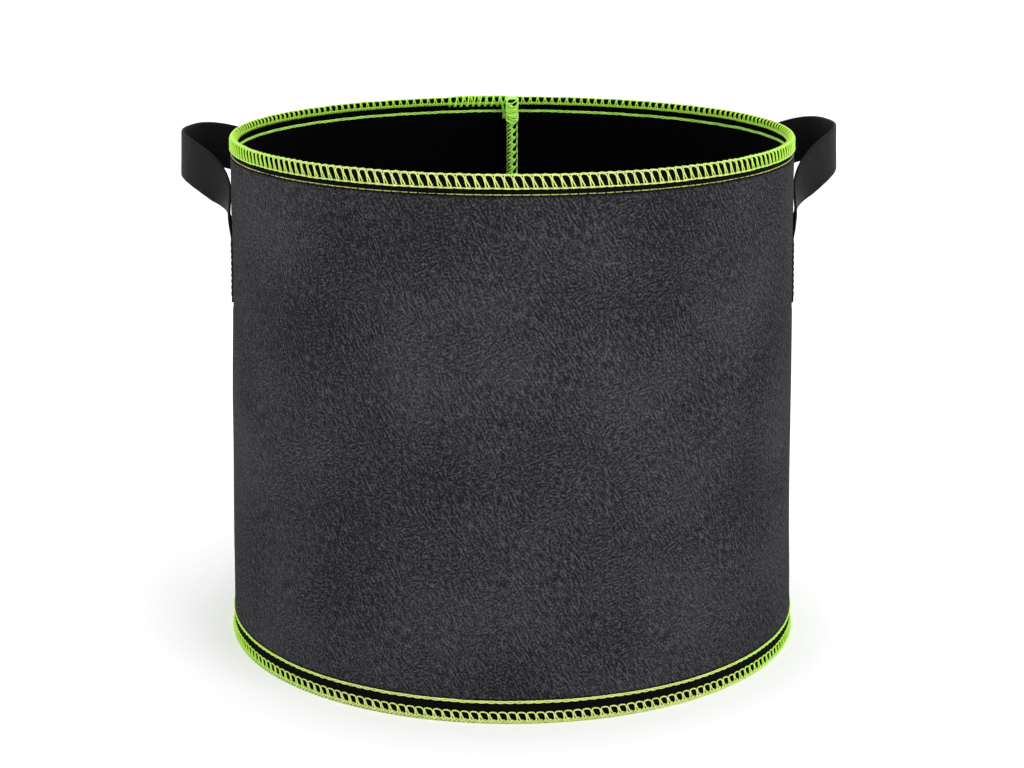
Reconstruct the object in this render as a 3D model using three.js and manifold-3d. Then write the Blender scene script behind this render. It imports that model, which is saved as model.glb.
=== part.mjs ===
// Fabric grow bag: a felt cylinder with an open top, a sewn felt bottom and two webbing handles.
// Millimetres, +Z up. The origin is the centre of the underside, on the surface the bag stands on.
// The seam of the side panel faces +Y, and the handles stand out near -X and +X.
import * as THREE from "three";
import { mergeVertices } from "three/addons/utils/BufferGeometryUtils.js";
import Module from "manifold-3d";

// Size of the bag
const HEIGHT = 280;
const TOP_RADIUS = 152.5;
const BOTTOM_RADIUS = 159;
const FELT = 2.5;

// Seams: every one has an overlock over its raw edge and a chain stitch beside it
const THREAD = 0.9;
const LOOPER_CHAIN = 1.3;
const OVERLOCK_WIDTH = 7;
const CHAIN_OFFSET = 10.5;
const BOTTOM_OVERLOCK_WIDTH = 6.2;
const BOTTOM_CHAIN_OFFSET = 11.5;
const FIN_DEPTH = 12;

// Bottom panel
const FLAT_RADIUS = 100;
const BOTTOM_RISE = 13;

// Handles: 25 mm webbing. Each end lies flat on the wall, and is sewn there with a crossed box.
const WEBBING_WIDTH = 25;
const WEBBING = 1.5;
const LEG_HALF_SPACING = 44.3;
const SEWN_TOP = HEIGHT - 56;
const SEWN_HEIGHT = 36;
const FLAT_TOP = HEIGHT - 46;

// The strap arches from one sewn end to the other. It leaves the wall late, turns on edge late, and its
// arch is squarer than a circle. Its first and last degrees bend in use and are left out of the loop.
const LIFT_DELAY = 3.2;
const TURN_DELAY = 3.2;
const ARCH_POWER = 0.63;
const FLEX_DEGREES = 48;
const HANDLES = [
  { side: "left", azimuth: 166.6, reach: 36.4, rise: 40, legs: ["rear", "front"] },
  { side: "right", azimuth: 13.4, reach: 32.5, rise: 43.6, legs: ["front", "rear"] },
];

// Clearances between touching pieces, and the fineness of round shapes
const GAP = 0.3;
const ROUND_GAP = 0.45;
const SEGMENTS = 72;

const INNER_RADIUS = TOP_RADIUS - FELT;
const EDGE = THREAD + GAP;
const SEAM_AZIMUTH = 90;
const SKIRT_OUTER = INNER_RADIUS - ROUND_GAP;
const SKIRT_INNER = SKIRT_OUTER - FELT;
const SKIRT_TOP = BOTTOM_RISE + FELT;
const FIN_FOOT = SKIRT_TOP + 2;

const wasm = await Module();
wasm.setup();

const felt = { color: 0x38373a, roughness: 0.95, metalness: 0 };
const webbing = { color: 0x17171b, roughness: 0.8, metalness: 0 };
const lime = { color: 0xa4d23a, roughness: 0.5, metalness: 0 };

const bag = new THREE.Group();

// Adds a piece, widened towards the ground as the whole bag is.
function addPiece(name, geometry, look) {
  const position = geometry.getAttribute("position");
  for (let i = 0; i < position.count; i++) {
    const flare = flareAt(position.getZ(i));
    position.setX(i, position.getX(i) * flare);
    position.setY(i, position.getY(i) * flare);
  }
  geometry.computeVertexNormals();
  const mesh = new THREE.Mesh(geometry, new THREE.MeshStandardMaterial(look));
  mesh.name = name;
  bag.add(mesh);
}

function flareAt(z) {
  return THREE.MathUtils.lerp(BOTTOM_RADIUS, TOP_RADIUS, z / HEIGHT) / TOP_RADIUS;
}

// Moves every vertex of a geometry to where place(x, y, z) says.
function mapVertices(geometry, place) {
  const position = geometry.getAttribute("position");
  for (let i = 0; i < position.count; i++) {
    const to = place(position.getX(i), position.getY(i), position.getZ(i));
    position.setXYZ(i, to.x, to.y, to.z);
  }
  return geometry;
}

function onCylinder(radius, degrees, z) {
  const angle = THREE.MathUtils.degToRad(degrees);
  return new THREE.Vector3(radius * Math.cos(angle), radius * Math.sin(angle), z);
}

const outline = (pairs) => pairs.map(([r, z]) => new THREE.Vector2(r, z));

// A full ring with the given section of [radius, height] pairs.
function ring(pairs) {
  const points = outline([...pairs, pairs[0]]);
  return new THREE.LatheGeometry(points, SEGMENTS).rotateX(Math.PI / 2);
}

// A stretch of ring between two azimuths, with flat ends.
function arcRing(pairs, fromDegrees, toDegrees) {
  const steps = Math.ceil(((toDegrees - fromDegrees) / 360) * SEGMENTS);
  const options = { depth: 1, steps, bevelEnabled: false };
  const straight = new THREE.ExtrudeGeometry(new THREE.Shape(outline(pairs)), options);
  return mapVertices(straight, (r, z, along) =>
    onCylinder(r, THREE.MathUtils.lerp(toDegrees, fromDegrees, along), z));
}

// A ring inside the bag, open where the fin of the side seam stands.
function innerRing(pairs) {
  const clear = THREE.MathUtils.radToDeg((FELT + THREAD + 2 * GAP + 1.5) / INNER_RADIUS);
  return arcRing(pairs, SEAM_AZIMUTH + clear, SEAM_AZIMUTH + 360 - clear);
}

const rectangle = (r0, r1, z0, z1) => [[r0, z0], [r1, z0], [r1, z1], [r0, z1]];

function toSolid(geometry) {
  const bare = geometry.clone();
  bare.deleteAttribute("normal");
  bare.deleteAttribute("uv");
  const merged = mergeVertices(bare, 1e-4);
  return new wasm.Manifold(new wasm.Mesh({
    numProp: 3,
    vertProperties: new Float32Array(merged.getAttribute("position").array),
    triVerts: new Uint32Array(merged.index.array),
  }));
}

function toGeometry(solid) {
  const mesh = solid.getMesh();
  return new THREE.BufferGeometry()
    .setAttribute("position", new THREE.BufferAttribute(mesh.vertProperties, 3))
    .setIndex(new THREE.BufferAttribute(mesh.triVerts, 1));
}

// The side panel: one strip of felt bent round, with both ends turned in as the fin of the seam.
function sidePanel() {
  const half = GAP / 2;
  const finEdge = INNER_RADIUS - FIN_DEPTH;
  const outerTurn = Math.asin(half / TOP_RADIUS);
  const innerTurn = Math.asin((half + FELT) / INNER_RADIUS);
  const back = Math.PI / 2;
  const shape = new THREE.Shape();
  shape.absarc(0, 0, TOP_RADIUS, back - outerTurn, back + outerTurn, true);
  shape.lineTo(-half, finEdge);
  shape.lineTo(-half - FELT, finEdge);
  shape.absarc(0, 0, INNER_RADIUS, back + innerTurn, back - innerTurn, false);
  shape.lineTo(half + FELT, finEdge);
  shape.lineTo(half, finEdge);
  const options = {
    depth: HEIGHT - 2 * EDGE,
    bevelEnabled: false,
    curveSegments: SEGMENTS / 2,
  };
  const strip = new THREE.ExtrudeGeometry(shape, options).translate(0, 0, EDGE);
  const foot = new THREE.BoxGeometry(4 * FELT, FIN_DEPTH + 2, FIN_FOOT)
    .translate(0, INNER_RADIUS - (FIN_DEPTH + 2) / 2, FIN_FOOT / 2);
  return toGeometry(toSolid(strip).subtract(toSolid(foot)));
}

// The bottom panel: a felt disc, flat in the middle, raised to the seam and turned down as its margin.
function bottomPanel() {
  const steps = 5;
  const underside = [];
  for (let i = 0; i <= steps; i++) {
    const x = i / steps;
    underside.push([THREE.MathUtils.lerp(FLAT_RADIUS, SKIRT_INNER, x), BOTTOM_RISE * x * x]);
  }
  const topside = underside.map(([r, z]) => [r, z + FELT]).reverse();
  const profile = [
    [0, 0],
    ...underside,
    [SKIRT_INNER, EDGE],
    [SKIRT_OUTER, EDGE],
    [SKIRT_OUTER, SKIRT_TOP - 0.8 * FELT],
    [SKIRT_OUTER - 0.3 * FELT, SKIRT_TOP - 0.25 * FELT],
    ...topside,
    [0, FELT],
  ];
  return new THREE.LatheGeometry(outline(profile), SEGMENTS).rotateX(Math.PI / 2);
}

// The five threads round the rim: three of the overlock and two of the chain stitch.
function addRimThreads() {
  const outside = TOP_RADIUS + ROUND_GAP;
  const inside = INNER_RADIUS - ROUND_GAP;
  const middle = TOP_RADIUS - FELT / 2;
  const foot = HEIGHT - OVERLOCK_WIDTH;
  const lid = HEIGHT - THREAD;
  const chain = HEIGHT - CHAIN_OFFSET;
  addPiece("rim_overlock_outer_looper", ring([
    [outside, foot], [outside + THREAD, foot], [outside + THREAD, HEIGHT],
    [middle + GAP / 2, HEIGHT], [middle + GAP / 2, lid], [outside, lid],
  ]), lime);
  addPiece("rim_overlock_inner_looper", innerRing([
    [inside - THREAD, foot], [inside, foot], [inside, lid],
    [middle - GAP / 2, lid], [middle - GAP / 2, HEIGHT], [inside - THREAD, HEIGHT],
  ]), lime);
  addPiece("rim_overlock_needle_thread", ring(rectangle(
    outside, outside + THREAD, foot - GAP - THREAD, foot - GAP)), lime);
  addPiece("rim_chain_needle_thread", ring(rectangle(
    outside, outside + THREAD, chain - THREAD / 2, chain + THREAD / 2)), lime);
  addPiece("rim_chain_looper_thread", innerRing(rectangle(
    inside - THREAD, inside, chain - LOOPER_CHAIN / 2, chain + LOOPER_CHAIN / 2)), lime);
}

// The five threads round the bottom, through the side panel and the turned-down margin. This seam is sewn
// from inside, so the thick thread of its chain stitch shows outside.
function addBottomThreads() {
  const outside = TOP_RADIUS + ROUND_GAP;
  const inside = SKIRT_INNER - ROUND_GAP;
  const middle = (INNER_RADIUS + SKIRT_OUTER) / 2;
  const top = BOTTOM_OVERLOCK_WIDTH;
  const chain = BOTTOM_CHAIN_OFFSET;
  addPiece("bottom_overlock_outer_looper", ring([
    [middle + GAP / 2, 0], [outside + THREAD, 0], [outside + THREAD, top],
    [outside, top], [outside, THREAD], [middle + GAP / 2, THREAD],
  ]), lime);
  addPiece("bottom_overlock_inner_looper", ring([
    [inside - THREAD, 0], [middle - GAP / 2, 0], [middle - GAP / 2, THREAD],
    [inside, THREAD], [inside, top], [inside - THREAD, top],
  ]), lime);
  addPiece("bottom_overlock_needle_thread", ring(rectangle(
    inside - THREAD, inside, top + GAP, top + GAP + THREAD)), lime);
  addPiece("bottom_chain_needle_thread", ring(rectangle(
    inside - THREAD, inside, chain - THREAD / 2, chain + THREAD / 2)), lime);
  addPiece("bottom_chain_looper_thread", ring(rectangle(
    outside, outside + THREAD, chain - LOOPER_CHAIN / 2, chain + LOOPER_CHAIN / 2)), lime);
}

// The five threads up the fin of the side seam: they run straight, from above the bottom panel to the rim.
function addSeamThreads() {
  const face = GAP / 2 + FELT + GAP;
  const finEdge = INNER_RADIUS - FIN_DEPTH;
  const mouth = finEdge + OVERLOCK_WIDTH;
  const chain = finEdge + CHAIN_OFFSET;
  const from = FIN_FOOT + GAP;
  const depth = HEIGHT - EDGE - from;
  const strip = (pairs) =>
    new THREE.ExtrudeGeometry(new THREE.Shape(outline(pairs)), { depth, bevelEnabled: false })
      .translate(0, 0, from);
  const wrap = (side) => outline([
    [side * (face + THREAD), mouth], [side * face, mouth], [side * face, finEdge - GAP],
    [side * GAP / 2, finEdge - GAP], [side * GAP / 2, finEdge - GAP - THREAD],
    [side * (face + THREAD), finEdge - GAP - THREAD],
  ]).map((point) => point.toArray());
  addPiece("seam_overlock_upper_looper", strip(wrap(-1)), lime);
  addPiece("seam_overlock_lower_looper", strip(wrap(1)), lime);
  addPiece("seam_overlock_needle_thread", strip(rectangle(
    -face - THREAD, -face, mouth + GAP, mouth + GAP + THREAD)), lime);
  addPiece("seam_chain_needle_thread", strip(rectangle(
    -face - THREAD, -face, chain - THREAD / 2, chain + THREAD / 2)), lime);
  addPiece("seam_chain_looper_thread", strip(rectangle(
    face, face + THREAD, chain - THREAD / 2, chain + THREAD / 2)), lime);
}

const degreesAlong = (length) => THREE.MathUtils.radToDeg(length / TOP_RADIUS);

// One end of a handle: webbing flat on the wall, sewn over most of its height.
function handleTab(azimuth) {
  const half = degreesAlong(WEBBING_WIDTH / 2);
  const inner = TOP_RADIUS + ROUND_GAP;
  return arcRing(rectangle(inner, inner + WEBBING, SEWN_TOP - SEWN_HEIGHT, FLAT_TOP),
    azimuth - half, azimuth + half);
}

// The stitched box with its crossing lines, as a thin plate bent on the wall at the given radius.
function crossedBox(azimuth, radius) {
  const halfWidth = WEBBING_WIDTH / 2 - 2.5;
  const halfHeight = SEWN_HEIGHT / 2 - 3;
  const corners = [[-1, -1], [1, -1], [1, 1], [-1, 1]];
  const box = new THREE.Shape(outline(corners.map(([x, y]) => [x * halfWidth, y * halfHeight])));
  const inX = halfWidth - THREAD;
  const inY = halfHeight - THREAD;
  const slack = THREAD * 0.75;
  for (const side of [-1, 1]) {
    box.holes.push(new THREE.Path(outline([
      [side * slack, 0], [side * inX, (1 - slack / inX) * inY], [side * inX, (slack / inX - 1) * inY],
    ])));
    box.holes.push(new THREE.Path(outline([
      [0, side * slack * inY / inX], [(1 - slack / inX) * inX, side * inY],
      [(slack / inX - 1) * inX, side * inY],
    ])));
  }
  const plate = new THREE.ExtrudeGeometry(box, { depth: THREAD, bevelEnabled: false });
  const middle = SEWN_TOP - SEWN_HEIGHT / 2;
  return mapVertices(plate, (x, y, out) =>
    onCylinder(radius + out, azimuth + degreesAlong(x), middle + y));
}

// The free loop of a handle: flat to the wall and upright at its ends, and on edge at its middle.
function handleLoop(azimuth, reach, rise) {
  const quarter = Math.PI / 2;
  const start = THREE.MathUtils.degToRad(FLEX_DEGREES);
  const flat = TOP_RADIUS + ROUND_GAP + WEBBING / 2;
  const signedPower = (value, power) => Math.sign(value) * Math.abs(value) ** power;
  const azimuthAt = (angle) =>
    azimuth - degreesAlong(LEG_HALF_SPACING * signedPower(Math.cos(angle), ARCH_POWER));
  const centre = (angle) => onCylinder(
    flat + (reach - WEBBING) * Math.sin(angle) ** LIFT_DELAY,
    azimuthAt(angle),
    SEWN_TOP + rise * Math.sin(angle),
  );
  const straight = new THREE.BoxGeometry(WEBBING_WIDTH, WEBBING, 1, 2, 1, 36);
  return mapVertices(straight, (across, through, part) => {
    const angle = THREE.MathUtils.lerp(start, Math.PI - start, part + 0.5);
    const ahead = centre(angle + 0.01).sub(centre(angle - 0.01)).normalize();
    const turn = quarter * signedPower((angle - quarter) / quarter, TURN_DELAY);
    const width = onCylinder(Math.sin(turn), azimuthAt(angle) + 90, Math.cos(turn));
    width.addScaledVector(ahead, -width.dot(ahead)).normalize();
    const normal = new THREE.Vector3().crossVectors(ahead, width);
    return centre(angle).addScaledVector(width, across).addScaledVector(normal, through);
  });
}

function addHandle({ side, azimuth, reach, rise, legs }) {
  const spread = degreesAlong(LEG_HALF_SPACING);
  legs.forEach((leg, i) => {
    const at = azimuth + (2 * i - 1) * spread;
    const outside = TOP_RADIUS + 2 * ROUND_GAP + WEBBING;
    const inside = INNER_RADIUS - ROUND_GAP - THREAD;
    addPiece(`${side}_handle_${leg}_tab`, handleTab(at), webbing);
    addPiece(`${side}_handle_${leg}_needle_thread`, crossedBox(at, outside), webbing);
    addPiece(`${side}_handle_${leg}_bobbin_thread`, crossedBox(at, inside), webbing);
  });
  addPiece(`${side}_handle_loop`, handleLoop(azimuth, reach, rise), webbing);
}

addPiece("side_panel", sidePanel(), felt);
addPiece("bottom_panel", bottomPanel(), felt);
addRimThreads();
addBottomThreads();
addSeamThreads();
HANDLES.forEach(addHandle);

export default bag;
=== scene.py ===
import math

import bmesh
import bpy
from mathutils import Matrix, Vector, noise


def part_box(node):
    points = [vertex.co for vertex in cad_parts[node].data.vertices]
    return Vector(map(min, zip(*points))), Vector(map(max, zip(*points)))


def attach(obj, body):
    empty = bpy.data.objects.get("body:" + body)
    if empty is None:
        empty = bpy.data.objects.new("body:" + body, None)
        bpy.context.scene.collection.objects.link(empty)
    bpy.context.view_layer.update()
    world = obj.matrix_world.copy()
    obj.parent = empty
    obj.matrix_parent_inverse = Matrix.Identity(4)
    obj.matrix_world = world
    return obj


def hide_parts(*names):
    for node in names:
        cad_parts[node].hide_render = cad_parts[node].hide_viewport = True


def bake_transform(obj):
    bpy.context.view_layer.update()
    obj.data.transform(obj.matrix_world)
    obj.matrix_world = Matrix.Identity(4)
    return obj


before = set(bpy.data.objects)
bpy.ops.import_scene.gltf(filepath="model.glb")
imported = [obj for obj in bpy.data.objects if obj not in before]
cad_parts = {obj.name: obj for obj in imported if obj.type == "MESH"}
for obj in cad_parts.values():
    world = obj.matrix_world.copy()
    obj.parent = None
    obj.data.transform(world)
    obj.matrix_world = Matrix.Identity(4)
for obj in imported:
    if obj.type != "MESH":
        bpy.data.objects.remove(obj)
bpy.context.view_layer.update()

bl_info = {
    "name": "Fabric Grow Bag",
    "version": (1, 0, 0),
    "blender": (4, 5, 0),
    "location": "3D View > Sidebar > Grow Bag",
    "description": "Builds a felt grow bag with overlocked seams and two webbing handles",
    "category": "Object",
}

WALL_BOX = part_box("side_panel")
RIM_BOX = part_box("rim_overlock_outer_looper")

# Everything is modelled in millimetres on a straight cylinder, and is then widened towards the
# ground and made metres.
MM = 0.001
HEIGHT = RIM_BOX[1].z / MM
EDGE = WALL_BOX[0].z / MM
BOTTOM_RADIUS = WALL_BOX[1].x / MM
RADIUS = 152.5
FELT = 2.5
ROUNDING = FELT / 2
INNER_RADIUS = RADIUS - FELT
MIDDLE = RADIUS - ROUNDING

# The bottom's margin, turned down inside the wall
SKIRT_OUTER = INNER_RADIUS - 0.45
SKIRT_INNER = SKIRT_OUTER - FELT
FLAT_MIDDLE = 100.0
BOTTOM_RISE = 12.6

# The side seam's fin: its two flaps lie face to face, with a hair of air between them
FIN_GAP = 0.02
FIN_EDGE = INNER_RADIUS - 12
FIN_START = 15.0
FIN_FOOT = 17.5
FIN_HALF = FIN_GAP + FELT
FIN_CORNER = 1.4

# The side panel's strip, from one raw edge: flap, bend, once round, bend and flap. At its very
# foot, which is sewn flat, the flaps are cut away and the strip's ends only meet.
BEND = 2.0
CLOSED_GAP = 0.0012
FLAP_X = FIN_GAP + ROUNDING
BEND_CENTRE = Vector((FLAP_X + BEND, math.sqrt((MIDDLE - BEND) ** 2 - (FLAP_X + BEND) ** 2)))
BEND_END = math.atan2(BEND_CENTRE.y, BEND_CENTRE.x)
FLAP = BEND_CENTRE.y - FIN_EDGE
BEND_LENGTH = BEND * (math.pi - BEND_END)
ROUND_LENGTH = MIDDLE * 2 * (BEND_END + math.pi / 2)
STRIP_LENGTH = 2 * (FLAP + BEND_LENGTH) + ROUND_LENGTH

# Seams: where the overlock's needle line and the chain stitch lie, from the raw edge
OVERLOCK = 7.0
CHAIN = 10.5
BOTTOM_OVERLOCK = 6.2
BOTTOM_CHAIN = 11.5

# Handles: the webbing, and the two ends of each that are sewn on and press into the felt
WEBBING_WIDTH = 25.0
WEBBING = 1.5
STRAP_RADIUS = RADIUS + 0.45 + WEBBING / 2
LEG_HALF_SPACING = 44.3
SEWN_HEIGHT = 36.0
SEWN_TOP = HEIGHT - 56
SEWN_FOOT = SEWN_TOP - SEWN_HEIGHT
SEWN_SINK = 1.7
SINK_FADE = 14.0
DENT_MARGIN = 3.0

# The free arch: powers that keep it upright, near the wall and unturned for longer at its ends
ARCH_POWER = 0.63
LIFT_DELAY = 3.6
TURN_DELAY = 3.2
HANDLES = {
    "left": dict(azimuth=166.6, reach=35.0, rise=40.0, legs=("rear", "front")),
    "right": dict(azimuth=13.4, reach=30.8, rise=43.6, legs=("front", "rear")),
}


# Shared shape of the whole bag ------------------------------------------------------------------

def clamped(value):
    return min(1.0, max(0.0, value))


def flare_at(z):
    """How much wider the bag is at this height than the straight cylinder."""
    return (BOTTOM_RADIUS + (RADIUS - BOTTOM_RADIUS) * z / HEIGHT) / RADIUS


def slack_at(angle, z):
    """How far the soft wall stands out or in, in mm: long shallow swells that die out at the
    seams, and a mouth and foot that aren't quite round."""
    calm = clamped((z - 4) / 50) * clamped((HEIGHT - z - 4) / 50)
    swell = noise.noise(Vector((2.1 * math.cos(angle), 2.1 * math.sin(angle), z / 95 + 3.7)))
    ring = noise.noise(Vector((1.3 * math.cos(angle), 1.3 * math.sin(angle), 9.1)))
    return 1.5 * swell * calm + 0.5 * ring


def settle(point):
    """Moves a point from the straight cylinder to where the soft, flared bag has it."""
    radius = math.hypot(point.x, point.y)
    if radius > 1e-6:
        angle = math.atan2(point.y, point.x)
        share = min(1.0, radius / INNER_RADIUS)
        stretch = flare_at(point.z) + slack_at(angle, point.z) * share ** 6 / radius
        point.x *= stretch
        point.y *= stretch


def on_cylinder(radius, degrees, z):
    angle = math.radians(degrees)
    return Vector((radius * math.cos(angle), radius * math.sin(angle), z))


def degrees_along(length):
    """The turn about the bag's axis, in degrees, of so many mm along its wall."""
    return math.degrees(length / RADIUS)


def sink_share(above):
    """How much of its sewn depth the webbing keeps, above mm over its sewn end."""
    return max(0.0, 1 - max(0.0, above) / SINK_FADE) ** 2


def webbing_dent(angle, z):
    """How deep the felt is pressed in under the sewn ends of the handles, in mm."""
    dent_foot = SEWN_FOOT - DENT_MARGIN
    if not dent_foot < z < SEWN_TOP + SINK_FADE:
        return 0.0
    below = min(1.0, (z - dent_foot) / DENT_MARGIN)
    for handle in HANDLES.values():
        for side in (-1, 1):
            middle = math.radians(handle["azimuth"]) + side * LEG_HALF_SPACING / RADIUS
            off = abs(math.remainder(angle - middle, 2 * math.pi)) * RADIUS
            reach = WEBBING_WIDTH / 2 + DENT_MARGIN
            if off < reach:
                edge = min(1.0, (reach - off) / 2.4)
                return (SEWN_SINK + 0.1) * below * edge * sink_share(z - SEWN_TOP)
    return 0.0


def finish_piece(bm, name, materials, nodes, body="bag"):
    """Makes the mesh an object of the bag: settled, in metres, smooth, and standing for its CAD
    nodes. It rides on the body, unless that is None."""
    bmesh.ops.recalc_face_normals(bm, faces=bm.faces)
    for vert in bm.verts:
        settle(vert.co)
    bmesh.ops.transform(bm, matrix=Matrix.Scale(MM, 4), verts=bm.verts)
    mesh = bpy.data.meshes.new(name)
    bm.to_mesh(mesh)
    bm.free()
    mesh.polygons.foreach_set("use_smooth", [True] * len(mesh.polygons))
    for material in materials:
        mesh.materials.append(material)
    piece = bpy.data.objects.new(name, mesh)
    bpy.context.scene.collection.objects.link(piece)
    if body:
        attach(piece, body)
    if nodes:
        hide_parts(*nodes)
    return piece


# Materials --------------------------------------------------------------------------------------

def linear(hex_colour):
    """An sRGB hex value such as "38373A" as linear RGBA."""
    channels = [int(hex_colour[i:i + 2], 16) / 255 for i in (0, 2, 4)]
    return [c / 12.92 if c <= 0.04045 else ((c + 0.055) / 1.055) ** 2.4 for c in channels] + [1.0]


def add(tree, kind, inputs=None, **settings):
    """Adds a node; an input is a value, or the socket that it is linked from."""
    made = tree.nodes.new(kind)
    for key, value in settings.items():
        setattr(made, key, value)
    for key, value in (inputs or {}).items():
        if isinstance(value, bpy.types.NodeSocket):
            tree.links.new(value, made.inputs[key])
        else:
            made.inputs[key].default_value = value
    return made


def new_material(name):
    material = bpy.data.materials.get(name) or bpy.data.materials.new(name)
    material.use_nodes = True
    material.node_tree.nodes.clear()
    return material, material.node_tree


def close_material(tree, shader_inputs):
    shader = add(tree, "ShaderNodeBsdfPrincipled", shader_inputs)
    add(tree, "ShaderNodeOutputMaterial", {"Surface": shader.outputs["BSDF"]})


def felt_material(name, light, dark, margin_shade):
    """Needle-punched polyester felt. Its fibres lie every way in short curved strokes, lighter on
    the crests and black between them, over a matt ground that takes the light in soft patches.
    Along the seams it is pressed down, and painted shade darkens it there."""
    material, tree = new_material(name)
    cloth = add(tree, "ShaderNodeUVMap", uv_map="cloth").outputs["UV"]

    # Patches of a hand's width, where the needles have matted the fibres more or less
    patches = add(tree, "ShaderNodeTexNoise", {
        "Vector": cloth, "Scale": 1 / 0.075, "Detail": 3.0, "Roughness": 0.55})
    swirl = add(tree, "ShaderNodeTexNoise", {
        "Vector": cloth, "Scale": 1 / 0.016, "Detail": 2.0})
    warped = add(tree, "ShaderNodeVectorMath", {
        0: swirl.outputs["Color"], 1: (0.0030, 0.0030, 0.0), 2: cloth}, operation="MULTIPLY_ADD")

    # Combed fibres in strokes 1.0 mm wide and 3 to 5 mm long, steep in some areas and flat in
    # others
    combed = []
    for lean, length in ((61, 0.0048), (-24, 0.0030)):
        laid = add(tree, "ShaderNodeMapping", {
            "Vector": warped.outputs["Vector"], "Rotation": (0, 0, math.radians(lean)),
            "Scale": (length, 0.0010, 1)}, vector_type="TEXTURE")
        combed.append(add(tree, "ShaderNodeTexNoise", {
            "Vector": laid.outputs["Vector"], "Scale": 1.0, "Detail": 1.5, "Roughness": 0.5}))
    areas = add(tree, "ShaderNodeTexNoise", {
        "Vector": cloth, "Scale": 1 / 0.030, "Detail": 2.0, "Roughness": 0.6})
    area = add(tree, "ShaderNodeMapRange", {
        "Value": areas.outputs["Fac"], "From Min": 0.48, "From Max": 0.62},
        interpolation_type="SMOOTHSTEP")
    strands = add(tree, "ShaderNodeMix", {
        "Factor": area.outputs["Result"], 2: combed[0].outputs["Fac"],
        3: combed[1].outputs["Fac"]}, data_type="FLOAT")
    # Tufts that the needles leave, about 7 mm across, in parallel strokes 1.7 mm apart
    tufts = add(tree, "ShaderNodeTexGabor", {
        "Vector": warped.outputs["Vector"], "Scale": 1 / 0.0068, "Frequency": 3.9,
        "Anisotropy": 0.2, "Orientation": math.radians(-30)})
    # Single fibres are 0.03 mm thick, too fine to show, so the finest grain is drawn at 1.1 mm
    grain = add(tree, "ShaderNodeTexNoise", {
        "Vector": cloth, "Scale": 1 / 0.0011, "Detail": 2.0, "Roughness": 0.7})
    crossed = add(tree, "ShaderNodeMix", {
        "Factor": 0.78, 2: tufts.outputs["Value"], 3: strands.outputs[0]}, data_type="FLOAT")
    fibres = add(tree, "ShaderNodeMix", {
        "Factor": 0.5, 2: crossed.outputs[0], 3: grain.outputs["Fac"]}, data_type="FLOAT")
    nap = add(tree, "ShaderNodeMapRange", {
        "Value": fibres.outputs[0], "From Min": 0.42, "From Max": 0.68},
        interpolation_type="SMOOTHSTEP")
    lifted = add(tree, "ShaderNodeMapRange", {
        "Value": patches.outputs["Fac"], "From Min": 0.3, "From Max": 0.7,
        "To Min": -0.13, "To Max": 0.13})
    tone = add(tree, "ShaderNodeMath", {
        0: nap.outputs["Result"], 1: lifted.outputs["Result"]}, operation="ADD", use_clamp=True)
    ground = add(tree, "ShaderNodeMix", {
        "Factor": tone.outputs["Value"], 6: linear(dark), 7: linear(light)}, data_type="RGBA")

    # Distance past the nearer chain stitch, in metres, for the margins of painted shade on the
    # pressed felt
    height = add(tree, "ShaderNodeSeparateXYZ", {"Vector": cloth}).outputs["Y"]
    from_top = add(tree, "ShaderNodeMath", {0: (HEIGHT - CHAIN) * MM, 1: height},
                   operation="SUBTRACT")
    from_foot = add(tree, "ShaderNodeMath", {0: height, 1: BOTTOM_CHAIN * MM},
                    operation="SUBTRACT")
    from_chain = add(tree, "ShaderNodeMath", {
        0: from_foot.outputs["Value"], 1: from_top.outputs["Value"]}, operation="MINIMUM")
    # Painted shade: the felt between the rows of stitches is darkened to the margin colour
    pressed_and_shaded = add(tree, "ShaderNodeMapRange", {
        "Value": from_chain.outputs["Value"], "From Min": 0.0003, "From Max": 0.0022,
        "To Min": 1.0, "To Max": 0.0}, interpolation_type="SMOOTHSTEP")
    colour = add(tree, "ShaderNodeMix", {
        "Factor": pressed_and_shaded.outputs["Result"], 6: ground.outputs[2], 7: linear(margin_shade)},
        data_type="RGBA")
    relief = add(tree, "ShaderNodeBump", {
        "Height": fibres.outputs[0], "Strength": 0.55, "Distance": 0.0006})
    close_material(tree, {
        "Base Color": colour.outputs[2], "Roughness": 0.95, "Normal": relief.outputs["Normal"],
        "Specular IOR Level": 0.04})
    return material


def webbing_material(name, colour, fleck_highlight):
    """Woven polypropylene webbing. The plain weave shows as small rounded picks in offset rows,
    with a painted sheen on their crests and grey flecks of painted highlight where a filament
    catches the light."""
    material, tree = new_material(name)
    cloth = add(tree, "ShaderNodeUVMap", uv_map="cloth").outputs["UV"]
    # Picks of the weave: 1.7 mm wide and 1.0 mm high
    picks = add(tree, "ShaderNodeTexBrick", {
        "Vector": cloth, "Scale": 1.0, "Mortar Size": 0.00034, "Mortar Smooth": 1.0,
        "Brick Width": 0.0017, "Row Height": 0.0010, "Color1": (1, 1, 1, 1),
        "Color2": (0.75, 0.75, 0.75, 1), "Mortar": (0, 0, 0, 1)}, offset=0.5)
    highlight_flecks = add(tree, "ShaderNodeTexNoise", {
        "Vector": cloth, "Scale": 1 / 0.0016, "Detail": 3.0, "Roughness": 0.65})
    # Painted highlight: sheen and grey flecks laid on the crests of the picks
    painted_sheen = add(tree, "ShaderNodeMapRange", {
        "Value": highlight_flecks.outputs["Fac"], "From Min": 0.42, "From Max": 0.68})
    highlight_share = add(tree, "ShaderNodeMath", {
        0: painted_sheen.outputs["Result"], 1: picks.outputs["Color"]}, operation="MULTIPLY")
    base = add(tree, "ShaderNodeMix", {
        "Factor": highlight_share.outputs["Value"], 6: linear(colour), 7: linear(fleck_highlight)}, data_type="RGBA")
    relief = add(tree, "ShaderNodeBump", {
        "Height": picks.outputs["Color"], "Strength": 0.7, "Distance": 0.0003})
    close_material(tree, {
        "Base Color": base.outputs[2], "Roughness": 0.62, "Normal": relief.outputs["Normal"],
        "Specular IOR Level": 0.14})
    return material


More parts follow.
